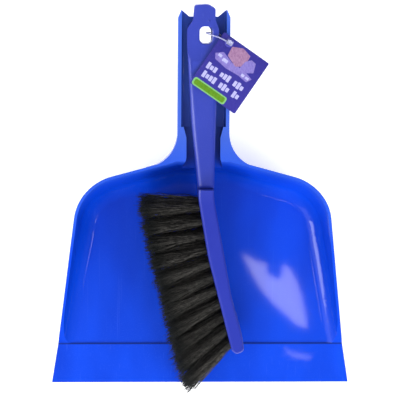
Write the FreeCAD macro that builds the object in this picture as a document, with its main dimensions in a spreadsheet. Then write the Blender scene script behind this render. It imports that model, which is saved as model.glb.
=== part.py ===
"""Dustpan and brush set: the brush lies in the pan with its grip in the pan's trough handle.

Frame: +X right, +Y from the lip towards the handle, +Z up, origin under the middle of the set.
All sizes are in millimetres and live in the sheet "sizes".
"""
import FreeCAD, Part
import math
import os
import Sketcher
from FreeCAD import Placement, Rotation, Vector

os.makedirs("parts", exist_ok=True)
doc = FreeCAD.newDocument("dustpan_and_brush")
sheet = doc.addObject("Spreadsheet::Sheet", "sizes")

# Driving dimensions. Runs are measured from the lip's front edge, halves from the middle plane.
SIZES = {
    # where the lip's front edge lies
    "lipY": -175.3,
    # tray
    "mouthHalf": 140, "floorTop": 4.2, "floorBottom": 2.0, "wallThick": 2.2,
    "rimHeight": 58, "blankHeight": 60, "sideFlare": 6.4, "backFlare": 12.8,
    "shoulderHalf": 109, "shoulderRun": 177, "shoulderHalfTop": 113.3, "shoulderRunTop": 189,
    "shoulderRadius": 48, "backHalf": 23.7, "backRun": 199.9, "coveRadius": 15,
    # how the outline falls away from the back's corner and draws in from the mouth, per millimetre
    "shoulderFall": 0.2656, "mouthTaper": 0.1751,
    # small allowances between the outer and the inner outline
    "rimStand": 0.4, "hollowSide": 0.3, "hollowBack": 0.9,
    # lip and the step behind it
    "creaseRun": 37.3, "creaseHeight": 5.2, "lipThick": 1.2, "lipFlat": 3,
    "rimFrontRun": 44, "rimFrontHeight": 9, "rimBackRun": 168, "rimFrontRound": 12,
    "rimBackRound": 60, "cutHeight": 40, "cutOver": 5,
    # neck and trough handle
    "handleHalf": 23.7, "neckRadius": 32, "neckFootHalf": 52, "neckSink": 0.8, "neckBase": 22,
    "neckInnerRun": 190, "neckBack": 5.4, "underRun": 22, "underRound": 40, "deckRun": 236,
    "handleEndRun": 341, "prongHalf": 20.4, "prongRun": 348.5,
    "notchHalf": 13.2, "notchRun": 342.5, "handleTilt": 7,
    "troughRun": 242, "troughFloor": 44, "troughHalf": 20.4,
    "troughCove": 2.2, "handleFloor": 2.4, "channelHalf": 15.5, "channelMouthHalf": 20.5,
    "channelMouthRun": 206, "channelDrop": 4, "channelEndFloor": 27, "channelEndRun": 200,
    "channelMouthRound": 12, "channelThroatRound": 14, "channelFlare": 2.6,
    # cores under the neck, from the back wall towards the handle
    "coreWall": 2.4, "coreStart": 0.6, "coreFoot": 7, "coreBendRun": 8.5, "coreLong": 20,
    "hangRun": 325.7, "panHangWide": 13.4, "panHangLong": 18, "panHangRadius": 6,
    "footHalf": 70, "footRun": 150, "footWide": 26, "footLong": 7,
    # brush, in its own frame: y along the grip, z across the block
    "brushRun": 243, "brushHeight": 54.6, "gripHalf": 10, "gripRound": 4.2,
    "gripEndY": -57.5, "gripEndLeft": -4.6, "gripEndRight": 10.2, "gripMidY": 4,
    "gripMidHalf": 11.4, "wingY": 75, "wingEndY": 89, "wingLeft": -15.6, "wingRight": 13.2,
    "tailHalf": 10.1, "tailY": 97, "tailEndY": 111.4,
    "tabHalf": 6.2, "tabStart": 60, "tabFull": 73, "tabRound": 1.4,
    "gripSideRound": 300, "wingRound": 12, "wingEndRound": 6, "tailRound": 3,
    "blockHalf": 19, "blockRound": 2.4, "blockRearY": -65, "blockRearRound": 60, "blockOver": 0.6,
    "faceRearX": -4.8, "faceBendX": 4.5, "faceBendY": -119, "noseX": 27, "noseY": -206.5,
    "noseTipX": 31.5, "noseTipY": -210.5, "heelX": 39, "heelY": -207.5,
    "backFrontX": 36.5, "backFrontY": -191, "backMidX": 27.5, "backMidY": -161,
    "backBendX": 19, "backBendY": -114, "backRearX": 9.7,
    "blockLongRound": 200, "noseRound": 3, "heelRound": 4, "backFrontRound": 30,
    "backMidRound": 150,
    "hangX": 1.5, "hangY": 83.3, "hangWide": 11.4, "hangLong": 15.6, "hangRadius": 4.5,
    # bristle tufts
    "rowPitch": 9.5, "tuftPitch": 13.2, "firstTuft": 8.5, "tuftLength": 54, "tuftGrowth": 4.5,
    "tuftRoot": 2.6, "tuftTip": 4.5, "holeRadius": 3.0, "holeDepth": 9, "tuftSeat": 2.2,
    "fanStart": 2, "fanSpread": 43, "fanPower": 1.6,
    "anchorWide": 4.6, "anchorThick": 0.6, "anchorDeep": 1.8,
    # hang tag, its ring, loop and lock
    "tagWide": 51, "tagTall": 55.5, "tagThick": 0.5, "tagCorner": 1.5, "tagTurn": -34.8,
    "tagTilt": 8, "tagHoleX": 22.5, "tagHoleY": 77, "tagHoleZ": 8.4, "tagHoleSide": 9.4,
    "tagHoleTop": 5.2, "tagHoleRadius": 2.4, "ringRadius": 4.2, "ringThick": 0.4,
    "loopThick": 1.2, "lockWide": 4.2, "lockLong": 5.6, "lockTall": 2.4, "lockGap": 0.3,
    "lockRound": 0.7, "lockTurn": 150,
}
for row, (alias, value) in enumerate(SIZES.items(), start=1):
    sheet.set(f"A{row}", alias)
    sheet.set(f"B{row}", str(value))
    sheet.setAlias(f"B{row}", alias)
doc.recompute()


def size(name):
    """A size read back from the sheet."""
    return float(sheet.get(name))


def bound(expression):
    """The same expression with each size named through the sheet."""
    words = []
    for word in expression.split():
        sign = "-" if word.startswith("-") and word[1:] in SIZES else ""
        name = word[1:] if sign else word
        words.append(f"{sign}sizes.{name}" if name in SIZES else word)
    return " ".join(words)


def originPlane(body, role):
    """The body's own origin plane with this role."""
    return next(item for item in body.Origin.OriginFeatures if item.Role == role)


def sketchOn(body, name, role, rise=None):
    """A sketch on one of the body's origin planes, or parallel to it at a given rise."""
    sketch = body.newObject("Sketcher::SketchObject", name)
    sketch.AttachmentSupport = [(originPlane(body, role), "")]
    sketch.MapMode = "FlatFace"
    if rise:
        sketch.setExpression("AttachmentOffset.Base.z", bound(rise))
    return sketch


def holdPoint(sketch, geometry, place, corner):
    """Ties a point to the corner's two coordinate expressions."""
    for kind, expression in zip(("DistanceX", "DistanceY"), corner):
        value = float(sketch.evalExpression(bound(expression)))
        index = sketch.addConstraint(
            Sketcher.Constraint(kind, -1, 1, geometry, place, value))
        sketch.setExpression(f"Constraints[{index}]", bound(expression))


def outline(sketch, corners):
    """A closed outline of straight sides; a corner with a third expression is rounded by it."""
    points = []
    for corner in corners:
        x, y = (float(sketch.evalExpression(bound(word))) for word in corner[:2])
        points.append(Vector(x, y, 0))
    count = len(points)
    starts, ends, arcs = [], [], {}
    for index, corner in enumerate(corners):
        here = points[index]
        before = (points[index - 1] - here).normalize()
        after = (points[(index + 1) % count] - here).normalize()
        if len(corner) < 3:
            ends.append(here)
            starts.append(here)
            continue
        radius = float(sketch.evalExpression(bound(corner[2])))
        half = before.getAngle(after) / 2
        ends.append(here + before * (radius / math.tan(half)))
        starts.append(here + after * (radius / math.tan(half)))
        middle = (before + after).normalize()
        centre = here + middle * (radius / math.sin(half))
        turnsLeft = before.cross(after).z < 0
        first, last = (ends[-1], starts[-1]) if turnsLeft else (starts[-1], ends[-1])
        arcs[index] = (first, centre - middle * radius, last)
    sides = [sketch.addGeometry(Part.LineSegment(starts[i], ends[(i + 1) % count]), False)
             for i in range(count)]
    for index, corner in enumerate(corners):
        sideIn, sideOut = sides[index - 1], sides[index]
        if index not in arcs:
            sketch.addConstraint(Sketcher.Constraint("Coincident", sideIn, 2, sideOut, 1))
            holdPoint(sketch, sideOut, 1, corner[:2])
            continue
        bend = sketch.addGeometry(Part.Arc(*arcs[index]), False)
        near = 1 if (arcs[index][0] - ends[index]).Length < 1e-6 else 2
        sketch.addConstraint(Sketcher.Constraint("Tangent", sideIn, 2, bend, near))
        sketch.addConstraint(Sketcher.Constraint("Tangent", bend, 3 - near, sideOut, 1))
        value = float(sketch.evalExpression(bound(corner[2])))
        radius = sketch.addConstraint(Sketcher.Constraint("Radius", bend, value))
        sketch.setExpression(f"Constraints[{radius}]", bound(corner[2]))
        apex = sketch.addGeometry(Part.Point(points[index]), True)
        sketch.addConstraint(Sketcher.Constraint("PointOnObject", apex, 1, sideIn))
        sketch.addConstraint(Sketcher.Constraint("PointOnObject", apex, 1, sideOut))
        holdPoint(sketch, apex, 1, corner[:2])


def mirrored(corners):
    """The right half's corners, then the left half's in reverse order."""
    left = [(f"0 - ( {corner[0]} )",) + tuple(corner[1:]) for corner in reversed(corners)]
    return list(corners) + left


def pad(body, name, sketch, length, midplane=True):
    feature = body.newObject("PartDesign::Pad", name)
    feature.Profile = sketch
    feature.Midplane = midplane
    feature.setExpression("Length", bound(length))
    return feature


def pocket(body, name, sketch, length, midplane=True, upwards=False):
    """Cuts the sketch away and checks that something was really removed."""
    doc.recompute()
    before = body.Shape.Volume
    feature = body.newObject("PartDesign::Pocket", name)
    feature.Profile = sketch
    feature.Midplane = midplane
    feature.Reversed = upwards
    feature.setExpression("Length", bound(length))
    doc.recompute()
    if body.Shape.Volume > before - 1:
        raise RuntimeError(f"{name} removed nothing")
    return feature


def loft(body, kind, name, lower, upper):
    feature = body.newObject(f"PartDesign::{kind}", name)
    feature.Profile = lower
    feature.Sections = [upper]
    feature.Ruled = True
    return feature


def fillet(body, name, radius, chosen):
    """Rounds the edges of the body's last feature that the test chooses."""
    doc.recompute()
    base = body.Tip
    names = [f"Edge{i}" for i, edge in enumerate(base.Shape.Edges, start=1) if chosen(edge)]
    if not names:
        raise RuntimeError(f"{name} found no edges")
    feature = body.newObject("PartDesign::Fillet", name)
    feature.Base = (base, names)
    feature.setExpression("Radius", bound(radius))
    doc.recompute()
    return feature


def newBody(label):
    body = doc.addObject("PartDesign::Body", label)
    body.Label = label
    return body


def within(edge, low, high):
    """True when the whole edge lies in the box from low to high."""
    box = edge.BoundBox
    return (box.XMin >= low[0] and box.YMin >= low[1] and box.ZMin >= low[2]
            and box.XMax <= high[0] and box.YMax <= high[1] and box.ZMax <= high[2])


# ---------------------------------------------------------------- dustpan

def makeDustpan():
    pan = newBody("dustpan")
    # the tray's blank: walls drafted outwards from the base outline to the rim outline
    base = sketchOn(pan, "tray_base", "XY_Plane")
    outline(base, mirrored([
        ("mouthHalf", "lipY"),
        ("shoulderHalf", "lipY + shoulderRun", "shoulderRadius - 4"),
        ("backHalf", "lipY + backRun")]))
    rim = sketchOn(pan, "tray_rim", "XY_Plane", "blankHeight")
    outline(rim, mirrored([
        ("mouthHalf + sideFlare", "lipY"),
        ("shoulderHalfTop", "lipY + shoulderRunTop", "shoulderRadius"),
        ("backHalf", "lipY + backRun + backFlare + rimStand")]))
    loft(pan, "AdditiveLoft", "tray_blank", base, rim)

    # neck and handle in plan, with the two end prongs
    plan = sketchOn(pan, "handle_plan", "XY_Plane", "neckBase")
    outline(plan, mirrored([
        ("neckFootHalf", "lipY + neckInnerRun"),
        ("neckFootHalf", "lipY + backRun + backFlare - ( neckFootHalf - backHalf ) * shoulderFall"
         " - neckSink"),
        ("handleHalf", "lipY + backRun + backFlare - neckSink", "neckRadius"),
        ("handleHalf", "lipY + handleEndRun"),
        ("prongHalf", "lipY + prongRun"),
        ("notchHalf", "lipY + notchRun")]))
    pad(pan, "handle_blank", plan, "blankHeight", midplane=False)

    # the hollow of the tray, with a cove where the walls meet the floor
    hollowBase = sketchOn(pan, "hollow_base", "XY_Plane", "floorTop")
    outline(hollowBase, mirrored([
        ("mouthHalf - wallThick - creaseRun * mouthTaper + rimStand", "lipY + creaseRun"),
        ("shoulderHalf - wallThick + hollowSide",
         "lipY + shoulderRun - wallThick + hollowBack", "shoulderRadius - 6"),
        ("backHalf", "lipY + backRun - wallThick + hollowBack")]))
    hollowRim = sketchOn(pan, "hollow_rim", "XY_Plane", "blankHeight")
    outline(hollowRim, mirrored([
        ("mouthHalf + sideFlare - wallThick - creaseRun * mouthTaper", "lipY + creaseRun"),
        ("shoulderHalfTop - wallThick", "lipY + shoulderRunTop - wallThick",
         "shoulderRadius - 2"),
        ("backHalf", "lipY + backRun + backFlare + rimStand - wallThick")]))
    loft(pan, "SubtractiveLoft", "tray_hollow", hollowBase, hollowRim)
    floor = size("floorTop")
    behind = size("lipY") + size("creaseRun") - 0.1
    fillet(pan, "tray_cove", "coveRadius", lambda edge: within(
        edge, (-150, behind, floor - 0.01), (150, 60, floor + 0.01))
        and edge.BoundBox.YMax > behind + 1)

    # the side view of the lip, the rim and the handle's top
    top = sketchOn(pan, "top_profile", "YZ_Plane")
    lift = f"{math.tan(math.radians(size('handleTilt'))):.5f}"
    outline(top, [
        ("lipY - cutOver", "lipThick"),
        ("lipY", "lipThick"),
        ("lipY + creaseRun", "creaseHeight"),
        ("lipY + rimFrontRun", "rimFrontHeight", "rimFrontRound"),
        ("lipY + rimBackRun", "rimHeight", "rimBackRound"),
        ("lipY + deckRun", "rimHeight", "rimBackRound"),
        ("lipY + prongRun + cutOver", f"rimHeight + ( prongRun + cutOver - deckRun ) * {lift}"),
        ("lipY + prongRun + cutOver", "rimHeight + cutHeight"),
        ("lipY - cutOver", "rimHeight + cutHeight")])
    pocket(pan, "top_cut", top, "mouthHalf * 2 + cutHeight")

    # the underside of the neck and handle
    under = sketchOn(pan, "under_profile", "YZ_Plane")
    outline(under, [
        ("lipY + backRun + neckBack", "neckBase - 2"),
        ("lipY + prongRun + cutOver", "neckBase - 2"),
        ("lipY + prongRun + cutOver",
         f"troughFloor - handleFloor + ( prongRun + cutOver - troughRun ) * {lift}"),
        ("lipY + troughRun + underRun", f"troughFloor - handleFloor + underRun * {lift}",
         "underRound"),
        ("lipY + backRun + neckBack", "channelEndFloor - wallThick")])
    pocket(pan, "under_cut", under, "neckFootHalf * 2 + 20")

    # the trough, open upwards
    trough = sketchOn(pan, "trough_profile", "YZ_Plane")
    outline(trough, [
        ("lipY + troughRun", "troughFloor"),
        ("lipY + prongRun + cutOver",
         f"troughFloor + ( prongRun + cutOver - troughRun ) * {lift}"),
        ("lipY + prongRun + cutOver", "rimHeight + cutHeight"),
        ("lipY + troughRun", "rimHeight + cutHeight")])
    pocket(pan, "trough", trough, "troughHalf * 2")
    half = size("troughHalf")
    start = size("lipY") + size("troughRun")
    fillet(pan, "trough_cove", "troughCove", lambda edge: abs(
        abs(edge.CenterOfMass.x) - half) < 0.01 and edge.CenterOfMass.y > start + 30
        and edge.CenterOfMass.z < 54 and edge.Length > 60)
    return pan


def cutChannel(pan):
    """The narrower, deeper channel that leads the brush's neck from the trough into the tray."""
    core = newBody("channel_core")
    plan = sketchOn(core, "channel_plan", "XY_Plane")
    outline(plan, mirrored([
        ("channelMouthHalf + 3", "lipY + neckInnerRun - 2"),
        ("channelMouthHalf", "lipY + backRun + 0.5", "channelMouthRound"),
        ("channelHalf", "lipY + channelMouthRun + 6", "channelThroatRound"),
        ("channelHalf", "lipY + troughRun - 10"),
        ("channelHalf + channelFlare", "lipY + troughRun + 0.02")]))
    pad(core, "channel_blank", plan, "blankHeight + 20", midplane=False)
    side = sketchOn(core, "channel_profile", "YZ_Plane")
    outline(side, [
        ("lipY + neckInnerRun - 5", "-5"),
        ("lipY + troughRun + 5", "-5"),
        ("lipY + troughRun + 5", "troughFloor - channelDrop"),
        ("lipY + troughRun", "troughFloor - channelDrop"),
        ("lipY + channelEndRun", "channelEndFloor"),
        ("lipY + neckInnerRun - 5", "channelEndFloor - 3")])
    pocket(core, "channel_floor", side, "mouthHalf")
    cut = pan.newObject("PartDesign::Boolean", "channel")
    cut.Type = "Cut"
    cut.setObjects([core])
    doc.recompute()


def finishDustpan(pan):
    """Hang slot, the neck's cored underside, the raised underside and the two rear feet."""
    slot = sketchOn(pan, "hang_slot", "XY_Plane", "troughFloor - 10")
    outline(slot, mirrored([
        ("panHangWide / 2", "lipY + hangRun - panHangLong / 2", "panHangRadius"),
        ("panHangWide / 2", "lipY + hangRun + panHangLong / 2", "panHangRadius")]))
    pocket(pan, "hang_hole", slot, "40", midplane=False, upwards=True)

    for side, sign in (("right", ""), ("left", "-")):
        under = sketchOn(pan, f"neck_core_{side}", "XY_Plane")
        outline(under, [
            (f"{sign}1 * ( channelHalf + coreWall )", "lipY + backRun + backFlare + coreStart"),
            (f"{sign}1 * ( handleHalf + coreFoot )", "lipY + backRun + backFlare + coreStart"),
            (f"{sign}1 * ( handleHalf + coreStart )",
             "lipY + backRun + backFlare + coreBendRun"),
            (f"{sign}1 * ( handleHalf - channelFlare )",
             "lipY + backRun + backFlare + coreLong"),
            (f"{sign}1 * ( channelHalf + coreWall )", "lipY + backRun + backFlare + coreLong")])
        pocket(pan, f"neck_hollow_{side}", under, "rimHeight - coreWall", midplane=False,
               upwards=True)

    belly = sketchOn(pan, "belly_profile", "YZ_Plane")
    outline(belly, [
        ("lipY + lipFlat", "0"),
        ("lipY + creaseRun", "floorBottom"),
        ("lipY + backRun + 5", "floorBottom"),
        ("lipY + backRun + 5", "-2"),
        ("lipY + lipFlat", "-2")])
    pocket(pan, "belly", belly, "mouthHalf * 2 + cutHeight")

    for side, sign in (("right", ""), ("left", "-")):
        foot = sketchOn(pan, f"foot_plan_{side}", "XY_Plane")
        outline(foot, [
            (f"{sign}footHalf - footWide / 2", "lipY + footRun - footLong / 2", "3"),
            (f"{sign}footHalf + footWide / 2", "lipY + footRun - footLong / 2", "3"),
            (f"{sign}footHalf + footWide / 2", "lipY + footRun + footLong / 2", "3"),
            (f"{sign}footHalf - footWide / 2", "lipY + footRun + footLong / 2", "3")])
        pad(pan, f"foot_{side}", foot, "floorBottom + 0.2", midplane=False)
        doc.recompute()


# ---------------------------------------------------------------- brush back

TUFTS_IN_ROW = 11
ROW_NAMES = "ABCD"


def brushPlacement():
    """The brush's own frame in the pan: it leans back with the handle."""
    place = Vector(0, size("lipY") + size("brushRun"), size("brushHeight"))
    return Placement(place, Rotation(Vector(1, 0, 0), size("handleTilt")))


def makeBrushBody():
    """Grip and block as one moulding, before the tuft holes are drilled."""
    back = newBody("brush_moulding")
    grip = sketchOn(back, "grip_outline", "XY_Plane")
    outline(grip, [
        ("gripEndRight", "gripEndY", "1.2"),
        ("gripMidHalf", "gripMidY", "gripSideRound"),
        ("wingRight", "wingY", "wingRound"),
        ("wingRight", "wingEndY", "wingEndRound"),
        ("tailHalf", "tailY", "tailRound"),
        ("tailHalf", "tailEndY - 4", "tailRound"),
        ("tailHalf - 7", "tailEndY", "8"),
        ("1 - tailHalf", "tailEndY - 1", "2.5"),
        ("0 - tailHalf", "tailY", "tailRound"),
        ("wingLeft", "wingEndY", "wingEndRound"),
        ("wingLeft", "wingY", "wingRound"),
        ("0 - gripMidHalf", "gripMidY", "gripSideRound"),
        ("gripEndLeft", "gripEndY", "2.4")])
    pad(back, "grip", grip, "gripHalf * 2")
    top = size("gripHalf")
    fillet(back, "grip_round", "gripRound", lambda edge: abs(
        edge.BoundBox.ZMin - edge.BoundBox.ZMax) < 0.01
        and abs(abs(edge.CenterOfMass.z) - top) < 0.01)

    for name, sign in (("upper", ""), ("lower", "-")):
        tab = sketchOn(back, f"tab_{name}", "YZ_Plane")
        outline(tab, [
            ("tabStart", f"{sign}1 * ( gripHalf + 0.01 )"),
            ("tabFull", f"{sign}tabHalf"),
            ("tailEndY + 2", f"{sign}tabHalf"),
            ("tailEndY + 2", f"{sign}1 * ( gripHalf + 5 )"),
            ("tabStart", f"{sign}1 * ( gripHalf + 5 )")])
        pocket(back, f"tab_cut_{name}", tab, "60")

    slot = sketchOn(back, "hang_outline", "XY_Plane")
    outline(slot, [
        ("hangX - hangWide / 2", "hangY - hangLong / 2", "hangRadius"),
        ("hangX + hangWide / 2", "hangY - hangLong / 2", "hangRadius"),
        ("hangX + hangWide / 2", "hangY + hangLong / 2", "hangRadius"),
        ("hangX - hangWide / 2", "hangY + hangLong / 2", "hangRadius")])
    pocket(back, "hang_slot_cut", slot, "40")
    flat = size("tabHalf")
    fillet(back, "tab_round", "tabRound", lambda edge: abs(
        abs(edge.CenterOfMass.z) - flat) < 0.01 and edge.BoundBox.ZLength < 0.01
        and abs(edge.CenterOfMass.y - size("hangY")) < size("hangLong") / 2 + 0.1
        and abs(edge.CenterOfMass.x - size("hangX")) < size("hangWide") / 2 + 0.1)

    block = sketchOn(back, "block_outline", "XY_Plane")
    outline(block, [
        ("faceRearX", "gripEndY + blockOver"),
        ("faceRearX", "blockRearY", "blockRearRound"),
        ("faceBendX", "faceBendY", "blockLongRound"),
        ("noseX", "noseY", "noseRound"),
        ("noseTipX", "noseTipY", "noseRound"),
        ("heelX", "heelY", "heelRound"),
        ("backFrontX", "backFrontY", "backFrontRound"),
        ("backMidX", "backMidY", "backMidRound"),
        ("backBendX", "backBendY", "blockLongRound"),
        ("backRearX", "blockRearY", "blockRearRound"),
        ("backRearX", "gripEndY + blockOver")])
    pad(back, "block", block, "blockHalf * 2")
    level = size("blockHalf")
    fillet(back, "block_round", "blockRound", lambda edge: abs(
        abs(edge.CenterOfMass.z) - level) < 0.01 and edge.BoundBox.ZLength < 0.01
        and edge.CenterOfMass.y < size("gripEndY") - size("blockOver"))
    return back


def facePoint(distance):
    """A point on the block's bristle face, so far from its rear end."""
    rear = Vector(size("faceRearX"), size("blockRearY"), 0)
    bend = Vector(size("faceBendX"), size("faceBendY"), 0)
    nose = Vector(size("noseX"), size("noseY"), 0)
    rearLength = (bend - rear).Length
    if distance < rearLength:
        return rear + (bend - rear) * (distance / rearLength)
    return bend + (nose - bend).normalize() * (distance - rearLength)


def tuftSeats():
    """Name, row, place on the face and outward direction of every tuft."""
    seats = []
    for row, letter in enumerate(ROW_NAMES):
        height = (row - (len(ROW_NAMES) - 1) / 2) * size("rowPitch")
        for index in range(TUFTS_IN_ROW):
            share = index / (TUFTS_IN_ROW - 1)
            lean = math.radians(size("fanStart") + size("fanSpread") * share ** size("fanPower"))
            root = facePoint(size("firstTuft") + index * size("tuftPitch"))
            outwards = Vector(-math.cos(lean), -math.sin(lean), 0)
            seats.append((f"tuft_{letter}{index + 1:02d}", share,
                          Vector(root.x, root.y, height), outwards))
    return seats


def along(direction, place):
    """A placement at this place whose own z axis points along the direction."""
    return Placement(place, Rotation(Vector(0, 0, 1), direction))


def makeBrush():
    """The moulding with its drilled holes, the tufts in them and the anchors behind them."""
    moulding = makeBrushBody()
    frame = brushPlacement()
    drills, anchors, tufts = [], [], []
    for name, share, root, outwards in tuftSeats():
        bottom = root - outwards * size("holeDepth")
        drill = doc.addObject("Part::Cylinder", f"drill_{name}")
        drill.setExpression("Radius", bound("holeRadius"))
        drill.setExpression("Height", bound("holeDepth + 4"))
        drill.Placement = along(outwards, bottom)
        drills.append(drill)

        anchor = doc.addObject("Part::Box", f"anchor_{name}")
        anchor.setExpression("Length", bound("anchorThick"))
        anchor.setExpression("Width", bound("anchorWide"))
        anchor.setExpression("Height", bound("anchorDeep"))
        middle = Vector(-size("anchorThick") / 2, -size("anchorWide") / 2, 0)
        seat = along(outwards, bottom)
        anchor.Placement = frame.multiply(seat).multiply(Placement(middle, Rotation()))
        anchors.append(anchor)

        tuft = doc.addObject("Part::Cone", name)
        tuft.Label = name
        grown = f"tuftLength + tuftGrowth * {share ** 2:.4f} + holeDepth - tuftSeat"
        tuft.setExpression("Radius1", bound("tuftRoot"))
        tuft.setExpression("Radius2", bound("tuftTip"))
        tuft.setExpression("Height", bound(grown))
        tuft.Placement = frame.multiply(along(outwards, bottom + outwards * size("tuftSeat")))
        tufts.append(tuft)
    holes = doc.addObject("Part::Compound", "tuft_holes")
    holes.Links = drills
    back = doc.addObject("Part::Cut", "brush_back")
    back.Label = "brush_back"
    back.Base = moulding
    back.Tool = holes
    doc.recompute()
    back.Placement = frame
    staples = doc.addObject("Part::Compound", "tuft_anchors")
    staples.Label = "tuft_anchors"
    staples.Links = anchors
    return [back, staples] + tufts


# ---------------------------------------------------------------- hang tag

def tagPlacement():
    """The card's frame: its hole's centre on the lower face, x along its top edge."""
    place = Vector(size("tagHoleX"), size("tagHoleY"), size("tagHoleZ"))
    tilt = Rotation(Vector(0, 1, 0), size("tagTilt"))
    turn = Rotation(Vector(0, 0, 1), size("tagTurn"))
    return brushPlacement().multiply(Placement(place, tilt.multiply(turn)))


def addCircle(sketch, radius):
    """A circle about the sketch's origin."""
    value = float(sketch.evalExpression(bound(radius)))
    ring = sketch.addGeometry(Part.Circle(Vector(0, 0, 0), Vector(0, 0, 1), value), False)
    sketch.addConstraint(Sketcher.Constraint("Coincident", ring, 3, -1, 1))
    index = sketch.addConstraint(Sketcher.Constraint("Radius", ring, value))
    sketch.setExpression(f"Constraints[{index}]", bound(radius))


def makeTag():
    card = newBody("hang_tag")
    face = sketchOn(card, "card_outline", "XY_Plane")
    outline(face, [
        ("0 - tagHoleSide", "tagHoleTop - tagTall", "tagCorner"),
        ("tagWide - tagHoleSide", "tagHoleTop - tagTall", "tagCorner"),
        ("tagWide - tagHoleSide", "tagHoleTop", "tagCorner"),
        ("0 - tagHoleSide", "tagHoleTop", "tagCorner")])
    addCircle(face, "tagHoleRadius")
    pad(card, "card", face, "tagThick", midplane=False)

    ring = newBody("tag_ring")
    band = sketchOn(ring, "ring_outline", "XY_Plane", "tagThick")
    addCircle(band, "ringRadius")
    addCircle(band, "tagHoleRadius")
    pad(ring, "ring", band, "ringThick", midplane=False)
    doc.recompute()
    card.Placement = tagPlacement()
    ring.Placement = tagPlacement()

    lock = newBody("tag_lock")
    head = sketchOn(lock, "lock_outline", "XY_Plane", "tagThick + ringThick + lockGap")
    outline(head, [
        ("0 - lockLong / 2", "0 - lockWide / 2"),
        ("lockLong / 2", "0 - lockWide / 2"),
        ("lockLong / 2", "lockWide / 2"),
        ("0 - lockLong / 2", "lockWide / 2")])
    pad(lock, "head", head, "lockTall", midplane=False)
    fillet(lock, "head_round", "lockRound", lambda edge: edge.BoundBox.ZLength > 1)
    place = Vector(size("tagHoleX"), size("tagHoleY"), size("tagHoleZ"))
    tilt = Rotation(Vector(0, 1, 0), size("tagTilt"))
    turn = Rotation(Vector(0, 0, 1), size("lockTurn"))
    lock.Placement = brushPlacement().multiply(Placement(place, tilt.multiply(turn)))
    return [card, ring, lock]


# The loop's route in the brush's frame: from the lock over the tab, down through the hang hole,
# back under the tab, up beside it and through the card's hole into the lock from below.
LOOP_ROUTE = [
    (20.05, 78.4, 10.8), (14.6, 81.4, 11.6), (8.2, 83.4, 10.9), (3.4, 84.6, 6.6),
    (1.6, 85.0, -0.5), (3.4, 84.8, -6.4), (8.6, 84.2, -8.3), (14.2, 83.2, -7.4),
    (17.0, 82.0, -2.6), (17.3, 80.6, 2.6), (19.0, 78.8, 5.8), (21.8, 77.3, 6.6),
    (22.55, 77.0, 9.62),
]


def cordPath(points):
    """Straight runs joined by tangent arcs, each as large as its two runs allow."""
    points = [Vector(*point) for point in points]
    edges, radii = [], []
    start = points[0]
    for before, here, after in zip(points, points[1:], points[2:]):
        back, forth = (before - here), (after - here)
        turn = math.pi - back.getAngle(forth)
        reach = 0.45 * min(back.Length, forth.Length)
        radius = reach / math.tan(turn / 2)
        radii.append(radius)
        enter = here + back.normalize() * reach
        leave = here + forth.normalize() * reach
        inwards = (back + forth).normalize()
        crown = here + inwards * (radius / math.cos(turn / 2) - radius)
        edges.append(Part.LineSegment(start, enter).toShape())
        edges.append(Part.Arc(enter, crown, leave).toShape())
        start = leave
    edges.append(Part.LineSegment(start, points[-1]).toShape())
    return Part.Wire(edges), radii


def makeLoop():
    path, radii = cordPath(LOOP_ROUTE)
    first = path.Edges[0]
    section = Part.Wire(Part.Circle(
        first.valueAt(first.FirstParameter), first.tangentAt(first.FirstParameter),
        size("loopThick") / 2).toShape())
    tube = path.makePipeShell([section], True, True)
    expected = path.Length * math.pi * (size("loopThick") / 2) ** 2
    print("loop radii", [round(radius, 1) for radius in radii])
    print(f"loop length {path.Length:.1f} mm, volume {tube.Volume:.2f}, expected {expected:.2f}")
    if abs(tube.Volume / expected - 1) > 0.02:
        raise RuntimeError("the loop's tube has the wrong volume")
    loop = doc.addObject("Part::Feature", "tag_loop")
    loop.Label = "tag_loop"
    loop.Shape = tube
    loop.Placement = brushPlacement()
    return loop


# ---------------------------------------------------------------- build and write

pan = makeDustpan()
cutChannel(pan)
finishDustpan(pan)
pieces = [pan] + makeBrush() + makeTag() + [makeLoop()]
doc.recompute()

for item in doc.Objects:
    if "Invalid" in item.State or "Error" in item.State:
        raise RuntimeError(f"{item.Name} did not recompute: {item.State}")
for piece in pieces:
    if piece.Shape.isNull() or not piece.Shape.isValid():
        raise RuntimeError(f"{piece.Label} has no valid shape")
for piece in pieces:
    piece.Shape.exportStep(f"parts/{piece.Label}.step")
print(len(pieces), "pieces written")
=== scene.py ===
import math
import random

import bmesh
import bpy
import numpy as np
from mathutils import Matrix, Vector


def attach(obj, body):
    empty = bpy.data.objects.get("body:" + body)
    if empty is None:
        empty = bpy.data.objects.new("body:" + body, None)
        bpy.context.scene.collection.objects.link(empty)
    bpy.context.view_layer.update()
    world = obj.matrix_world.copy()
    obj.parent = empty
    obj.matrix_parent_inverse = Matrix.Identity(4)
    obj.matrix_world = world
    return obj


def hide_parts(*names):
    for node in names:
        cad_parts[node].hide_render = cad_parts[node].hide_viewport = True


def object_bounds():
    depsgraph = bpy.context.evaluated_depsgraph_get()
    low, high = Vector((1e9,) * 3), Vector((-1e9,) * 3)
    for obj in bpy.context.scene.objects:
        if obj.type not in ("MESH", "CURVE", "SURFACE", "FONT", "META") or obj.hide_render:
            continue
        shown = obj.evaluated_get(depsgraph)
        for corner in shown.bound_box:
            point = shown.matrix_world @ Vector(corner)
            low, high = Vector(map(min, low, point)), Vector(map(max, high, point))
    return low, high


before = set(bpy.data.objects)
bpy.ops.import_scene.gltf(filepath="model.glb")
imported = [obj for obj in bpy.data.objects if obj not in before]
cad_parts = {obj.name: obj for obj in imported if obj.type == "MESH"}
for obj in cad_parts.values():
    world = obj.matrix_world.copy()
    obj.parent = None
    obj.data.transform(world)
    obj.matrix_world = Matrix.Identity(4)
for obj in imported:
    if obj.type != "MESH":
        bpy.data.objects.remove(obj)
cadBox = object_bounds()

scene = bpy.context.scene
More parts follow.
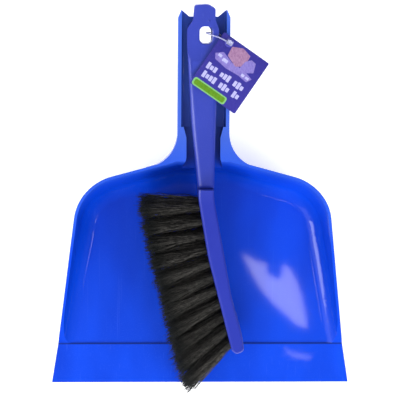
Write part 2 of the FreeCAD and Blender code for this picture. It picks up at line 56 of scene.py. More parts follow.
scene.view_settings.view_transform = "Standard"
mm = 0.001
print("frame loaded:", len(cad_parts), "nodes")

# the brush leans back with the handle, and its own frame has y along the grip
brushPlace = {"run": 67.7 * mm, "height": 54.6 * mm, "lean": 7}
brushFrame = (Matrix.Translation((0, brushPlace["run"], brushPlace["height"]))
              @ Matrix.Rotation(math.radians(brushPlace["lean"]), 4, "X"))


def onBrush(x, y, z):  # millimetres in the brush's frame to metres in the row frame
    return brushFrame @ Vector((x * mm, y * mm, z * mm))


# looks straight down on the set from well above it
cameraLook = {
    "place": (-0.0714, 0.0858, 1.8368), "turn": (-0.0483, -0.0383, 0.0033), "lens": 175.55,
    "reach": 50}
cameraData = bpy.data.cameras.new("camera")
cameraData.lens = cameraLook["lens"]
cameraData.clip_end = cameraLook["reach"]
camera = bpy.data.objects.new("camera", cameraData)
camera.location = cameraLook["place"]
camera.rotation_euler = cameraLook["turn"]
scene.collection.objects.link(camera)
scene.camera = camera


# helpers that build node trees
def startMaterial(name, **sockets):
    material = bpy.data.materials.new(name)
    material.use_nodes = True
    shader = material.node_tree.nodes["Principled BSDF"]
    for socket, value in sockets.items():
        shader.inputs[socket.replace("_", " ")].default_value = value
    return material, material.node_tree, shader


def wire(tree, source, target):
    tree.links.new(source, target)


def objectPlace(tree, scale=(1, 1, 1), turn=(0, 0, 0)):
    where = tree.nodes.new("ShaderNodeTexCoord")
    place = tree.nodes.new("ShaderNodeMapping")
    place.inputs["Scale"].default_value = scale
    place.inputs["Rotation"].default_value = turn
    wire(tree, where.outputs["Object"], place.inputs["Vector"])
    return place.outputs["Vector"]


def cloud(tree, place, size, detail=2.0, roughness=0.5):  # noise with lumps of this size in metres
    noise = tree.nodes.new("ShaderNodeTexNoise")
    noise.inputs["Scale"].default_value = 1 / size
    noise.inputs["Detail"].default_value = detail
    noise.inputs["Roughness"].default_value = roughness
    wire(tree, place, noise.inputs["Vector"])
    return noise.outputs["Fac"]


def spread(tree, source, low, high, toLow=0.0, toHigh=1.0):  # remaps a value and clamps it
    change = tree.nodes.new("ShaderNodeMapRange")
    limits = {"From Min": low, "From Max": high, "To Min": toLow, "To Max": toHigh}
    for socket, value in limits.items():
        change.inputs[socket].default_value = value
    wire(tree, source, change.inputs["Value"])
    return change.outputs["Result"]


def blendColour(tree, amount, first, second):  # a colour is either a socket or red, green and blue
    mix = tree.nodes.new("ShaderNodeMix")
    mix.data_type = "RGBA"
    wire(tree, amount, mix.inputs[0])
    for socket, colour in ((mix.inputs[6], first), (mix.inputs[7], second)):
        if hasattr(colour, "links"):
            wire(tree, colour, socket)
        else:
            socket.default_value = (*colour, 1)
    return mix.outputs[2]


def combine(tree, first, second, operation="ADD"):
    maths = tree.nodes.new("ShaderNodeMath")
    maths.operation = operation
    for socket, value in zip(maths.inputs, (first, second)):
        if hasattr(value, "links"):
            wire(tree, value, socket)
        else:
            socket.default_value = value
    return maths.outputs[0]


def relief(tree, shader, layers):  # (height, depth in metres, strength) stacked into one bump
    normal = None
    for height, depth, strength in layers:
        bump = tree.nodes.new("ShaderNodeBump")
        bump.inputs["Distance"].default_value = depth
        bump.inputs["Strength"].default_value = strength
        wire(tree, height, bump.inputs["Height"])
        if normal:
            wire(tree, normal, bump.inputs["Normal"])
        normal = bump.outputs["Normal"]
    wire(tree, normal, shader.inputs["Normal"])


# what both mouldings share: flow waves, fine specks, grain and long scratches, in metres
plasticDetail = {
    "flowStretch": (1, 0.45, 1), "flowDetail": 3, "flowBand": (0.32, 0.68), "speckSize": 0.0011,
    "speckBand": (0.55, 0.85), "speckShare": 0.16, "grainSize": 0.00045, "grainStrength": 0.6,
    "roughBand": (0.3, 0.7), "smoother": 0.05, "rougher": 0.06,
    "scratches": [{"turn": 0.22, "size": 0.0016}, {"turn": -0.5, "size": 0.0022}],
    "scratchStretch": (1, 1 / 60, 1), "scratchBand": (0.68, 0.73), "scratchRough": 0.2,
    "scratchDepth": 0.00002, "scratchStrength": 0.5,
    # band and share of the painted shade line in the lip's crease
    "creaseShadeBand": (0.0003, 0.0011), "creaseShadeShare": 0.75}


def scratchMarks(tree, turn, size):  # long thin marks, all one way
    place = objectPlace(tree, scale=plasticDetail["scratchStretch"], turn=(0, 0, turn))
    return spread(tree, cloud(tree, place, size), *plasticDetail["scratchBand"])


def axisOf(tree, place, axis):  # one coordinate of a place
    axes = tree.nodes.new("ShaderNodeSeparateXYZ")
    wire(tree, place, axes.inputs[0])
    return axes.outputs[axis]


def mouldedPlastic(name, look):
    detail = plasticDetail
    material, tree, shader = startMaterial(
        name, Coat_Weight=look["coat"], Coat_Roughness=look["coatRoughness"], IOR=1.49,
        Coat_IOR=1.5, Specular_IOR_Level=look["specular"])
    place = objectPlace(tree)
    stretched = objectPlace(tree, detail["flowStretch"])
    flow = cloud(tree, stretched, look["flowSize"], detail["flowDetail"])
    speck = cloud(tree, place, detail["speckSize"])
    speckled = spread(tree, speck, *detail["speckBand"], 0, detail["speckShare"])
    marks = combine(tree, *[scratchMarks(tree, **mark) for mark in detail["scratches"]], "MAXIMUM")
    scuffed = combine(tree, marks, look["scuff"], "MULTIPLY")
    flowing = spread(tree, flow, *detail["flowBand"])
    colour = blendColour(tree, flowing, look["deep"], look["colour"])
    colour = blendColour(tree, speckled, colour, look["pale"])
    colour = blendColour(tree, scuffed, colour, look["pale"])
    for zone in look["wearAndPaintedLightZones"]:  # stretches painted lighter or darker for light and shade, the handle also rubbed paler
        along = axisOf(tree, place, zone["axis"])
        inside = spread(tree, along, zone["start"], zone["full"], 0, zone["share"])
        colour = blendColour(tree, inside, colour, zone["tint"])
    if "creaseY" in look:  # a fine dark line of painted shade in the step behind the lip
        off = combine(tree, axisOf(tree, place, "Y"), -look["creaseY"])
        away = combine(tree, off, 0, "ABSOLUTE")
        shadedCrease = spread(tree, away, *detail["creaseShadeBand"], detail["creaseShadeShare"], 0)
        colour = blendColour(tree, shadedCrease, colour, look["creaseShade"])
    wire(tree, colour, shader.inputs["Base Color"])
    rough = spread(tree, flow, *detail["roughBand"],
                   look["roughness"] - detail["smoother"], look["roughness"] + detail["rougher"])
    rougher = combine(tree, marks, detail["scratchRough"], "MULTIPLY")
    wire(tree, combine(tree, rough, rougher), shader.inputs["Roughness"])
    relief(tree, shader, [
        (cloud(tree, place, detail["grainSize"]), look["grainDepth"], detail["grainStrength"]),
        (flow, look["waveDepth"], 1.0), (marks, detail["scratchDepth"], detail["scratchStrength"])])
    return material


panPlasticLook = {
    "colour": (0.0012, 0.050, 0.58), "deep": (0.0004, 0.034, 0.44), "pale": (0.06, 0.14, 0.66),
    "roughness": 0.40, "coat": 0.55, "coatRoughness": 0.04, "specular": 0.10, "scuff": 0.10,
    "flowSize": 0.055, "grainDepth": 0.00002, "waveDepth": 0.00022,
    "wearAndPaintedLightZones": [  # the handle, rubbed paler and also painted lighter against its shade, then the rim, painted lighter as if lit
        {"axis": "Y", "start": 0.030, "full": 0.060, "tint": (0.045, 0.088, 0.42), "share": 0.75},
        {"axis": "Z", "start": 0.040, "full": 0.056, "tint": (0.055, 0.150, 0.58), "share": 0.28}],
    # the crease line's colour is painted shade
    "creaseY": -0.1381, "creaseShade": (0.003, 0.012, 0.09)}
# the eased edges are paler: partly rubbed wear, partly a painted highlight
panEdgeLook = dict(
    panPlasticLook, colour=(0.035, 0.11, 0.66), deep=(0.025, 0.09, 0.60), roughness=0.42)
brushPlasticLook = {
    "colour": (0.026, 0.044, 0.35), "deep": (0.019, 0.034, 0.29), "pale": (0.09, 0.12, 0.50),
    "roughness": 0.42, "coat": 0.4, "coatRoughness": 0.14, "specular": 0.25, "scuff": 0.12,
    "flowSize": 0.04, "grainDepth": 0.00003, "waveDepth": 0.0002,
    "wearAndPaintedLightZones": [  # the block end, painted darker as shade
        {"axis": "Y", "start": 0.022, "full": -0.005, "tint": (0.010, 0.020, 0.27), "share": 0.85}]}
panPlastic = mouldedPlastic("pan_blue_plastic", panPlasticLook)
panEdge = mouldedPlastic("pan_edge_wear_and_highlight", panEdgeLook)
brushPlastic = mouldedPlastic("brush_violet_plastic", brushPlasticLook)


nylonFinish = {
    "dark": (0.003, 0.003, 0.003), "pale": (0.100, 0.094, 0.086), "specular": 0.22,
    "mottleStretch": (0.5, 1, 1), "mottleSize": 0.0022, "mottleBand": (0.45, 0.62),
    "mottleShare": 0.75, "mottle": (0.004, 0.004, 0.004),
    "tipBand": (0.70, 0.92), "tipShare": 0.85, "tip": (0.005, 0.007, 0.007),
    "rootEnd": 0.3, "rootShare": 0.55, "root": (0.004, 0.004, 0.005), "roughness": (0.38, 0.62),
    "skinSize": 0.0004, "skinDepth": 0.00003, "skinStrength": 0.5}


def attributeOf(tree, name):  # a value that the filaments carry along them
    source = tree.nodes.new("ShaderNodeAttribute")
    source.attribute_name = name
    return source.outputs["Fac"]


def bristleNylon(look):
    material, tree, shader = startMaterial("bristle_nylon", Specular_IOR_Level=look["specular"])
    tone, reach = attributeOf(tree, "tone"), attributeOf(tree, "reach")
    stretched = objectPlace(tree, look["mottleStretch"])
    mottle = cloud(tree, stretched, look["mottleSize"], detail=3, roughness=0.7)
    colour = blendColour(tree, tone, look["dark"], look["pale"])
    # darker towards the roots is painted shade where the tufts meet the block; the mottle is the
    # nylon's own tone
    for share, tint in (
            (spread(tree, mottle, *look["mottleBand"], 0, look["mottleShare"]), look["mottle"]),
            (spread(tree, reach, *look["tipBand"], 0, look["tipShare"]), look["tip"]),
            (spread(tree, reach, 0, look["rootEnd"], look["rootShare"], 0), look["root"])):
        colour = blendColour(tree, share, colour, tint)
    wire(tree, colour, shader.inputs["Base Color"])
    wire(tree, spread(tree, tone, 0, 1, *look["roughness"]), shader.inputs["Roughness"])
    skin = cloud(tree, objectPlace(tree), look["skinSize"])
    relief(tree, shader, [(skin, look["skinDepth"], look["skinStrength"])])
    return material


cardDetail = {
    "coat": 0.12, "coatRoughness": 0.22, "specular": 0.3,
    "pulpStretch": (1, 0.4, 1), "pulpSize": 0.0012, "pulpBand": (0.35, 0.7),
    "dotSize": 0.0004, "dotBand": (0.3, 0.7), "smoother": 0.06, "rougher": 0.08,
    "pulpDepth": 0.00003, "pulpStrength": 0.5, "dotDepth": 0.00001, "dotStrength": 0.4}


def cardStock(name, colour, fleck, roughness):
    detail = cardDetail
    material, tree, shader = startMaterial(
        name, Coat_Weight=detail["coat"], Coat_Roughness=detail["coatRoughness"],
        Specular_IOR_Level=detail["specular"])
    stretched = objectPlace(tree, detail["pulpStretch"])
    pulp = cloud(tree, stretched, detail["pulpSize"], detail=4, roughness=0.7)
    dots = cloud(tree, objectPlace(tree), detail["dotSize"], detail=1)
    mixed = blendColour(tree, spread(tree, pulp, *detail["pulpBand"]), colour, fleck)
    wire(tree, mixed, shader.inputs["Base Color"])
    rough = spread(tree, dots, *detail["dotBand"],
                   roughness - detail["smoother"], roughness + detail["rougher"])
    wire(tree, rough, shader.inputs["Roughness"])
    relief(tree, shader, [(pulp, detail["pulpDepth"], detail["pulpStrength"]),
                          (dots, detail["dotDepth"], detail["dotStrength"])])
    return material


def rubbedFinish(name, look, **sockets):  # one noise that drives colour, roughness and relief
    material, tree, shader = startMaterial(name, **sockets)
    rub = cloud(tree, objectPlace(tree), look["size"], detail=3)
    wire(tree, blendColour(tree, rub, look["dark"], look["pale"]), shader.inputs["Base Color"])
    wire(tree, spread(tree, rub, 0.3, 0.7, *look["roughness"]), shader.inputs["Roughness"])
    relief(tree, shader, [(rub, look["depth"], look["strength"])])
    return material


clearFinish = {"size": 0.0012, "dark": (0.42, 0.44, 0.74), "pale": (0.62, 0.63, 0.86),
               "roughness": (0.16, 0.3), "depth": 0.00004, "strength": 0.4}
stapleFinish = {"size": 0.0009, "dark": (0.46, 0.45, 0.43), "pale": (0.72, 0.71, 0.69),
                "roughness": (0.25, 0.45), "depth": 0.00003, "strength": 0.5}
bristle = bristleNylon(nylonFinish)
nylon = rubbedFinish(
    "clear_nylon", clearFinish, Transmission_Weight=0.5, IOR=1.53, Specular_IOR_Level=0.6)
staple = rubbedFinish("staple_wire", stapleFinish, Metallic=1.0)


# the loop that ties the tag to the brush, its route in millimetres in the brush's frame
loopLook = {"thick": 1.2 * mm, "length": 64 * mm, "roundness": 4, "steps": 10, "route": [
    (20.05, 78.4, 10.8), (14.6, 81.4, 11.6), (8.2, 83.4, 10.9), (3.4, 84.6, 6.6),
    (1.6, 85.0, -0.5), (3.4, 84.8, -6.4), (8.6, 84.2, -8.3), (14.2, 83.2, -7.4),
    (17.0, 82.0, -2.6), (17.3, 80.6, 2.6), (19.0, 78.8, 5.8), (21.8, 77.3, 6.6),
    (22.55, 77.0, 9.62)]}
loopCurve = bpy.data.curves.new("tag_filament", "CURVE")
loopCurve.dimensions = "3D"
loopCurve.bevel_depth = loopLook["thick"] / 2
loopCurve.bevel_resolution = loopLook["roundness"]
loopCurve.resolution_u = loopLook["steps"]
loopCurve.use_fill_caps = True
strand = loopCurve.splines.new("NURBS")
strand.points.add(len(loopLook["route"]) - 1)
for point, place in zip(strand.points, loopLook["route"]):
    point.co = (*onBrush(*place), 1)
strand.order_u = 3
strand.use_endpoint_u = True
tagFilament = bpy.data.objects.new("tag_filament", loopCurve)
scene.collection.objects.link(tagFilament)
loopCurve.materials.append(nylon)
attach(tagFilament, "brush")
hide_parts("tag_loop")
print("loop made")


def addPiece(shape, name, body, materials, hides=(), smoothAngle=None):
    mesh = bpy.data.meshes.new(name)
    if smoothAngle is not None:
        for face in shape.faces:
            face.smooth = True
        for edge in shape.edges:
            joined = len(edge.link_faces) == 2
            edge.smooth = joined and edge.calc_face_angle(0) < math.radians(smoothAngle)
    shape.to_mesh(mesh)
    shape.free()
    piece = bpy.data.objects.new(name, mesh)
    scene.collection.objects.link(piece)
    for material in materials:
        mesh.materials.append(material)
    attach(piece, body)
    if hides:
        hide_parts(*hides)
    return piece


weldLook = {"near": 2e-6, "flatAngle": 0.3}


def weldedCopy(node):  # a merged copy of a CAD node, its flat faces joined up again
    shape = bmesh.new()
    shape.from_mesh(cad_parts[node].data)
    bmesh.ops.remove_doubles(shape, verts=shape.verts, dist=weldLook["near"])
    flat = math.radians(weldLook["flatAngle"])
    bmesh.ops.dissolve_limit(shape, angle_limit=flat, verts=shape.verts, edges=shape.edges)
    return shape


def easeEdges(shape, look):  # rounds the hard edges and returns the new strips
    sharpest = math.radians(look["edgeAngle"])
    hard = [e for e in shape.edges if len(e.link_faces) == 2 and e.calc_face_angle(0) > sharpest]
    made = bmesh.ops.bevel(
        shape, geom=hard, offset=look["edgeRound"], offset_type="OFFSET",
        segments=look["edgeSteps"], profile=0.5, affect="EDGES", material=-1, clamp_overlap=True)
    return made["faces"]


def weighNormals(piece):
    modifier = piece.modifiers.new("weighted_normals", "WEIGHTED_NORMAL")
    modifier.keep_sharp = True
    modifier.weight = 60


panLook = {"edgeAngle": 35, "edgeRound": 0.35 * mm, "edgeSteps": 2, "smoothAngle": 32}
panShape = weldedCopy("dustpan")
for face in easeEdges(panShape, panLook):
    face.material_index = 1  # the eased strips are rubbed paler and painted lighter as an edge highlight
pan = addPiece(panShape, "pan_shell", "pan", [panPlastic, panEdge], ["dustpan"],
               panLook["smoothAngle"])
weighNormals(pan)
print("pan made:", len(pan.data.polygons), "faces")

backLook = {"edgeAngle": 35, "edgeRound": 0.35 * mm, "edgeSteps": 2, "smoothAngle": 32}
backShape = weldedCopy("brush_back")
easeEdges(backShape, backLook)
back = addPiece(backShape, "brush_body", "brush", [brushPlastic], ["brush_back"],
                backLook["smoothAngle"])
weighNormals(back)

# the small moulding nub near the grip's end
nubLook = {"place": (4.2, 96.0, 6.1), "wide": 1.3 * mm, "tall": 0.7 * mm, "smoothAngle": 60}
nubShape = bmesh.new()
bmesh.ops.create_uvsphere(nubShape, u_segments=20, v_segments=12, radius=1)
nubSize = (nubLook["wide"], nubLook["wide"], nubLook["tall"])
nubFrame = brushFrame @ Matrix.Translation(Vector(nubLook["place"]) * mm)
bmesh.ops.scale(nubShape, verts=nubShape.verts, vec=nubSize)
bmesh.ops.transform(nubShape, verts=nubShape.verts, matrix=nubFrame)
addPiece(nubShape, "moulding_nub", "brush", [brushPlastic],
         smoothAngle=nubLook["smoothAngle"])
print("brush back made:", len(back.data.polygons), "faces")

bristleLook = {
    "perTuft": 110, "thick": 0.4 * mm, "rootRadius": 2.5 * mm,
    # millimetres that each row's tufts open out along the brush, lowest row first, and across it
    "openOut": {"A": 9.5, "B": 9.5, "C": 9.0, "D": 5.6}, "openAcross": 5.5,
    "openPower": {"A": 0.3, "B": 0.35, "C": 0.45, "D": 1.2},  # low numbers open near the root
    "droop": 7 * mm, "droopSpan": 8.5, "shorter": 0.08, "shorterSpan": 10,
    "leanAlong": 1.2, "leanAcross": 0.8, "bow": (0.2, 1.4),
    "shares": (0, 0.03, 0.16, 0.29, 0.42, 0.55, 0.68, 0.80, 0.91, 0.985, 1), "tipThin": 0.55,
    "crimp": 0.95 * mm, "crimpPitch": (5.5, 8.5), "crimpTurns": 2.2, "crimpStart": 5,
    "stray": 1.9 * mm, "uneven": 0.045, "longerShare": 0.4,
    "tone": 0.45, "toneSpread": 0.3, "tuftTone": 0.12, "seed": 7}
chance = random.Random(bristleLook["seed"])


def tuftLine(node):  # a tuft's middle line, root end first, and its two cross directions
    corners = np.array([v.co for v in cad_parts[node].data.vertices])
    middle = corners.mean(axis=0)
    along = np.linalg.svd(corners - middle, full_matrices=False)[2][0]
    along = along if along[0] < 0 else -along
    runs = (corners - middle) @ along
    along, middle = Vector(along), Vector(middle)
    flat = along.cross((0, 0, 1)).normalized()
    rise = along.cross(flat).normalized()
    return middle + along * runs.min(), middle + along * runs.max(), flat, rise


def drawFilament(curve, look, root, tip, flat, rise, letter, fullness, shift):
    angle, out = chance.uniform(0, 2 * math.pi), math.sqrt(chance.random())
    side = flat * math.cos(angle) + rise * math.sin(angle)
    start = root + side * out * look["rootRadius"]
    stray = Vector([chance.gauss(0, look["stray"]) for _ in range(3)])
    opened = (flat * math.cos(angle) * look["openOut"][letter]
              + rise * math.sin(angle) * look["openAcross"])
    end = tip + opened * out * mm - side * out * look["rootRadius"] + stray + shift[0] + shift[1]
    longer = chance.uniform(-look["uneven"], look["uneven"] * look["longerShare"])
    run = (tip - root) * (fullness + longer)
    crimpSide = Vector([chance.uniform(-1, 1) for _ in range(3)]).normalized()
    phase, pitch = chance.uniform(0, 6.3), chance.uniform(*look["crimpPitch"])
    bow = side * chance.uniform(*look["bow"]) * mm
    spline = curve.splines.new("POLY")
    spline.points.add(len(look["shares"]) - 1)
    for share, point in zip(look["shares"], spline.points):
        opening = (end - tip) * share ** look["openPower"][letter]
        wave = (crimpSide * math.sin(phase + pitch * share * look["crimpTurns"]) * look["crimp"]
                * min(1, share * look["crimpStart"]))
        point.co = (*(start + run * share + opening + wave - bow * math.sin(math.pi * share)), 1)
        point.radius = 0 if share in (0, 1) else 1 - (1 - look["tipThin"]) * share ** 4


def bristleRow(letter):
    look = bristleLook
    tufts = sorted(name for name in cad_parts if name.startswith(f"tuft_{letter}"))
    curve = bpy.data.curves.new("filaments_" + letter, "CURVE")
    curve.dimensions = "3D"
    curve.bevel_depth = look["thick"] / 2
    curve.bevel_resolution = 0
    tones = []
    for order, node in enumerate(tufts):
        root, tip, flat, rise = tuftLine(node)
        droopShare = math.sin(math.pi * min(1, order / look["droopSpan"]))
        droop = Vector((0, -1, 0)) * look["droop"] * droopShare
        fullness = 1 - look["shorter"] * math.sin(math.pi * order / look["shorterSpan"]) ** 2
        tuftTone = chance.uniform(-look["tuftTone"], look["tuftTone"])
        lean = (flat * chance.uniform(-look["leanAlong"], look["leanAlong"]) * mm
                + rise * chance.uniform(-look["leanAcross"], look["leanAcross"]) * mm)
        for _ in range(look["perTuft"]):
            drawFilament(curve, look, root, tip, flat, rise, letter, fullness, (lean, droop))
            tones.append(min(1, max(0, chance.gauss(look["tone"], look["toneSpread"]) + tuftTone)))
    holder = bpy.data.objects.new("filaments_" + letter, curve)
    scene.collection.objects.link(holder)
    graph = bpy.context.evaluated_depsgraph_get()
    mesh = bpy.data.meshes.new_from_object(holder.evaluated_get(graph))
    bpy.data.objects.remove(holder)
    mesh.name = "bristle_row_" + letter
    count = len(mesh.vertices) // len(tones)  # every filament has the same number of vertices
    toneData = mesh.attributes.new("tone", "FLOAT", "POINT")
    toneData.data.foreach_set("value", np.repeat(np.array(tones, np.float32), count))
    ringShares = np.repeat(np.array(look["shares"], np.float32), count // len(look["shares"]))
    reachData = mesh.attributes.new("reach", "FLOAT", "POINT")
    reachData.data.foreach_set("value", np.tile(ringShares, len(tones)))
    shape = bmesh.new()
    shape.from_mesh(mesh)
    bmesh.ops.remove_doubles(shape, verts=shape.verts, dist=1e-7)  # closes each filament's ends
    for face in shape.faces:
        face.smooth = True
    shape.to_mesh(mesh)
    shape.free()
    piece = bpy.data.objects.new("bristle_row_" + letter, mesh)
    scene.collection.objects.link(piece)
    mesh.materials.clear()
    mesh.materials.append(bristle)
    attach(piece, "brush")
    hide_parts(*tufts)
    print("bristle row", letter, "made:", len(tones), "filaments,", len(mesh.vertices), "vertices")


for letter in "ABCD":
    bristleRow(letter)

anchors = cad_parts["tuft_anchors"]  # the CAD staples stay, with a wire finish
anchors.data.materials.clear()
anchors.data.materials.append(staple)

# the tag, its print, ring and lock, in millimetres
tagLook = {
    "hole": (22.5, 77.0, 8.4), "tilt": 8, "turn": -34.8, "wide": 51, "tall": 55.5, "holeSide": 9.4,
    "holeTop": 5.2, "thick": 0.5, "ink": 0.06, "smoothAngle": 35}
tagFrame = (brushFrame @ Matrix.Translation(Vector(tagLook["hole"]) * mm)
            @ Matrix.Rotation(math.radians(tagLook["tilt"]), 4, "Y"))
cardFrame = tagFrame @ Matrix.Rotation(math.radians(tagLook["turn"]), 4, "Z")


def easedNode(node, name, material, edgeRound):
    shape = weldedCopy(node)
    easeEdges(shape, {"edgeAngle": 30, "edgeRound": edgeRound, "edgeSteps": 2})
    return addPiece(shape, name, "tag", [material], [node], tagLook["smoothAngle"])


cardFinish = cardStock("tag_card", (0.022, 0.018, 0.20), (0.030, 0.024, 0.24), 0.40)
ringFinish = cardStock("tag_ring_paper", (0.05, 0.045, 0.30), (0.065, 0.06, 0.34), 0.45)
easedNode("hang_tag", "tag_card", cardFinish, 0.12 * mm)
easedNode("tag_ring", "tag_eyelet", ringFinish, 0.08 * mm)


def inkPatches(name, ink, lift, rounding, patches):  # a patch is its corners, in shares of the card
    shape = bmesh.new()
    level = (tagLook["thick"] + lift) * mm
    for corners in patches:
        points = [shape.verts.new((
            (across * tagLook["wide"] - tagLook["holeSide"]) * mm,
            (tagLook["holeTop"] - down * tagLook["tall"]) * mm, level)) for across, down in corners]
        shape.faces.new(points)
        bmesh.ops.bevel(
            shape, geom=points, offset=rounding * mm, offset_type="OFFSET", segments=3, profile=0.5,
            affect="VERTICES", material=-1, clamp_overlap=True)
    raised = bmesh.ops.extrude_face_region(shape, geom=list(shape.faces))
    bmesh.ops.translate(
        shape, verts=[v for v in raised["geom"] if isinstance(v, bmesh.types.BMVert)],
        vec=(0, 0, tagLook["ink"] * mm))
    bmesh.ops.transform(shape, verts=shape.verts, matrix=cardFrame)
    bmesh.ops.recalc_face_normals(shape, faces=shape.faces)
    addPiece(shape, name, "tag", [inks[ink]])


def bar(left, right, top, bottom):
    return [(left, top), (left, bottom), (right, bottom), (right, top)]


inkLook = {
    "lilac": ((0.13, 0.10, 0.36), (0.22, 0.18, 0.46)),
    "pink": ((0.20, 0.09, 0.20), (0.34, 0.20, 0.32)),
    "white": ((0.30, 0.29, 0.56), (0.42, 0.41, 0.64)),
    "green": ((0.060, 0.185, 0.004), (0.115, 0.25, 0.010)),
    "mint": ((0.14, 0.36, 0.10), (0.20, 0.42, 0.16))}
inks = {name: cardStock("ink_" + name, *tints, 0.38) for name, tints in inkLook.items()}

# two rows of plain blocks, with a gap where a block is left out
dashLook = {"blocks": 11, "fill": 0.82, "tall": 0.115, "drop": 0.014, "rows": [
    {"left": 0.08, "right": 0.88, "top": 0.53, "gaps": {3, 7}},
    {"left": 0.10, "right": 0.90, "top": 0.685, "gaps": {4, 8}}]}
dashes = []
for row in dashLook["rows"]:
    step = (row["right"] - row["left"]) / dashLook["blocks"]
    for index in set(range(dashLook["blocks"])) - row["gaps"]:
        drop = dashLook["drop"] * (index * 5 % 3)  # a little unevenness between neighbouring blocks
        dashes.append(bar(
            row["left"] + step * index, row["left"] + step * (index + dashLook["fill"]),
            row["top"] + drop, row["top"] + dashLook["tall"] - drop / 2))

# name, ink, lift above the card, corner rounding and patches, lowest first
printLayers = [
    ("print_ribbon", "lilac", 0, 0.5, [[
        (0.08, 0.36), (0.14, 0.44), (0.40, 0.47), (0.66, 0.45), (0.84, 0.47), (0.90, 0.38),
        (0.70, 0.33), (0.44, 0.34), (0.20, 0.27)]]),
    ("print_emblem", "pink", 0.07, 0.5, [[
        (0.27, 0.12), (0.29, 0.28), (0.52, 0.36), (0.66, 0.27), (0.64, 0.08), (0.46, 0.04)]]),
    ("print_panel", "lilac", 0.14, 0.5, [[
        (0.62, 0.20), (0.60, 0.33), (0.74, 0.35), (0.86, 0.28), (0.80, 0.13), (0.70, 0.12)]]),
    ("print_ticks", "white", 0.07, 0.3, [
        bar(0.14, 0.22, 0.325, 0.37), bar(0.25, 0.36, 0.345, 0.40), bar(0.69, 0.75, 0.385, 0.43),
        bar(0.78, 0.85, 0.39, 0.43)]),
    ("print_dashes", "white", 0, 0.5, dashes),
    ("print_band_border", "mint", 0, 2.2, [bar(0.025, 0.735, 0.855, 0.99)]),
    ("print_band", "green", 0.06, 1.6, [bar(0.055, 0.705, 0.877, 0.969)])]
for layer in printLayers:
    inkPatches(*layer)

lockLook = {
    "long": 5.6, "wide": 4.2, "tall": 2.4, "rise": 1.2, "turn": 150,
    "lidMargin": 0.9, "lidSlope": 0.2, "lidSink": 0.7, "round": 0.28, "smoothAngle": 40}
lockFrame = tagFrame @ Matrix.Rotation(math.radians(lockLook["turn"]), 4, "Z")
lockShape = bmesh.new()
bmesh.ops.create_cube(lockShape, size=1)
bmesh.ops.scale(
    lockShape, verts=lockShape.verts,
    vec=Vector((lockLook["long"], lockLook["wide"], lockLook["tall"])) * mm)
bmesh.ops.translate(
    lockShape, verts=lockShape.verts, vec=(0, 0, (lockLook["rise"] + lockLook["tall"] / 2) * mm))
lid = [face for face in lockShape.faces if face.normal.z > 0.9]
bmesh.ops.inset_region(lockShape, faces=lid, thickness=lockLook["lidMargin"] * mm, depth=0)
bmesh.ops.inset_region(
    lockShape, faces=lid, thickness=lockLook["lidSlope"] * mm, depth=-lockLook["lidSink"] * mm)
bmesh.ops.bevel(
    lockShape, geom=[e for e in lockShape.edges if e.calc_face_angle(0) > 0.5],
    offset=lockLook["round"] * mm, offset_type="OFFSET", segments=3, profile=0.5, affect="EDGES",
    material=-1, clamp_overlap=True)
bmesh.ops.transform(lockShape, verts=lockShape.verts, matrix=lockFrame)
bmesh.ops.recalc_face_normals(lockShape, faces=lockShape.faces)
tagLock = addPiece(
    lockShape, "tag_lock_head", "brush", [nylon], ["tag_lock"], lockLook["smoothAngle"])
print("tag made")

floorLook = {"half": 3.0, "below": 0.2 * mm, "colour": (0.88, 0.88, 0.88, 1), "glow": 0.42}
floorMesh = bpy.data.meshes.new("floor")
floorShape = bmesh.new()
bmesh.ops.create_grid(floorShape, x_segments=1, y_segments=1, size=floorLook["half"])
bmesh.ops.translate(
    floorShape, verts=floorShape.verts, vec=(0, 0, cadBox[0].z - floorLook["below"]))
floorShape.to_mesh(floorMesh)
floorShape.free()
floor = bpy.data.objects.new("floor", floorMesh)
scene.collection.objects.link(floor)
floorMesh.materials.append(startMaterial(
    "floor_paper", Roughness=0.85, Specular_IOR_Level=0.2, Base_Color=floorLook["colour"],
    Emission_Color=(1, 1, 1, 1), Emission_Strength=floorLook["glow"])[0])

airLook = {"colour": (0.95, 0.97, 1.0, 1), "strength": 0.95, "mirrored": 0.08}
world = bpy.data.worlds.new("studio_air")
world.use_nodes = True
air = world.node_tree
air.nodes["Background"].inputs["Color"].default_value = airLook["colour"]
# glossy rays meet a dimmer room, so the plastic keeps its colour
rays = air.nodes.new("ShaderNodeLightPath").outputs["Is Glossy Ray"]
wire(air, spread(air, rays, 0, 1, airLook["strength"], airLook["mirrored"]),
     air.nodes["Background"].inputs["Strength"])
scene.world = world


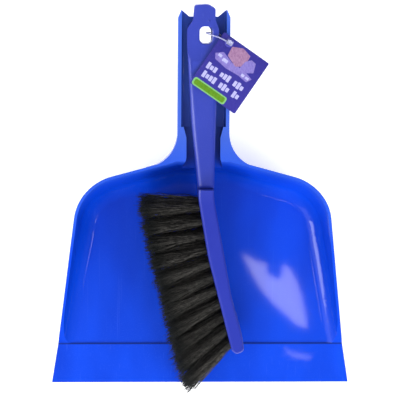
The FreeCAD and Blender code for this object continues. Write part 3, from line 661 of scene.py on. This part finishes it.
# area lights, each with the kind of ray that it is left out of
lightLook = {
    "key_box": {"place": (1.3, -1.1, 2.0), "aim": (0, 0, 0), "size": (1.3, 1.3), "power": 30,
                "without": "glossy"},
    "fill_box": {"place": (-1.2, -0.6, 2.3), "aim": (0, 0, 0), "size": (1.6, 1.6), "power": 9,
                 "without": ""},
    "side_box": {"place": (-1.7, 0.0, 1.15), "aim": (0, 0, 0.05), "size": (1.3, 1.7), "power": 14,
                 "without": ""},
    "edge_box": {"place": (-1.7, 0.0, 1.3), "aim": (0, 0, 0.05), "size": (1.3, 1.7), "power": 38,
                 "without": "diffuse"},
    "front_box": {"place": (-0.5, -2.4, 1.1), "aim": (0, 0.1, 0), "size": (1.4, 0.9), "power": 54,
                  "without": "glossy"}}
for name, look in lightLook.items():
    data = bpy.data.lights.new(name, "AREA")
    data.shape = "RECTANGLE"
    data.size, data.size_y = look["size"]
    data.energy = look["power"]
    light = bpy.data.objects.new(name, data)
    light.location = look["place"]
    towards = Vector(look["aim"]) - light.location
    light.rotation_euler = towards.to_track_quat("-Z", "Y").to_euler()
    light.visible_glossy = look["without"] != "glossy"
    light.visible_diffuse = look["without"] != "diffuse"
    scene.collection.objects.link(light)

# small glowing panels whose mirror images are the bright patches on the pan's floor and lip
panelLook = {"height": 1.5, "strength": 9.0, "colour": (1.0, 0.90, 0.88, 1), "patches": [
    {"level": 4.2 * mm, "slope": 0, "corners": [
        (0.039, -0.052), (0.046, -0.057), (0.054, -0.061), (0.062, -0.062), (0.062, -0.069),
        (0.066, -0.075), (0.074, -0.077), (0.077, -0.072), (0.078, -0.063), (0.084, -0.067),
        (0.091, -0.08), (0.096, -0.095), (0.099, -0.11), (0.101, -0.124), (0.091, -0.121),
        (0.079, -0.11), (0.068, -0.1), (0.057, -0.087), (0.048, -0.072)]},
    {"level": 3.5 * mm, "slope": 6.12, "corners": [
        (0.078, -0.143), (0.088, -0.148), (0.097, -0.1505), (0.106, -0.152), (0.104, -0.1535),
        (0.092, -0.1525), (0.084, -0.149)]}]}
panelMesh = bpy.data.meshes.new("glow_panel")
panelShape = bmesh.new()
for patch in panelLook["patches"]:
    upright = Matrix.Rotation(math.radians(patch["slope"]), 3, "X") @ Vector((0, 0, 1))
    corners = []
    for x, y in patch["corners"]:
        seen = Vector((x, y, patch["level"]))
        ray = (seen - camera.location).reflect(upright)
        corners.append(panelShape.verts.new(seen + ray * ((panelLook["height"] - seen.z) / ray.z)))
    panelShape.faces.new(corners)
panelShape.to_mesh(panelMesh)
panelShape.free()
panel = bpy.data.objects.new("glow_panel", panelMesh)
scene.collection.objects.link(panel)
panelMesh.materials.append(startMaterial(
    "panel_glow", Emission_Strength=panelLook["strength"], Emission_Color=panelLook["colour"])[0])
panel.visible_camera = False
panel.visible_diffuse = False
panel.visible_shadow = False
print("stage made")
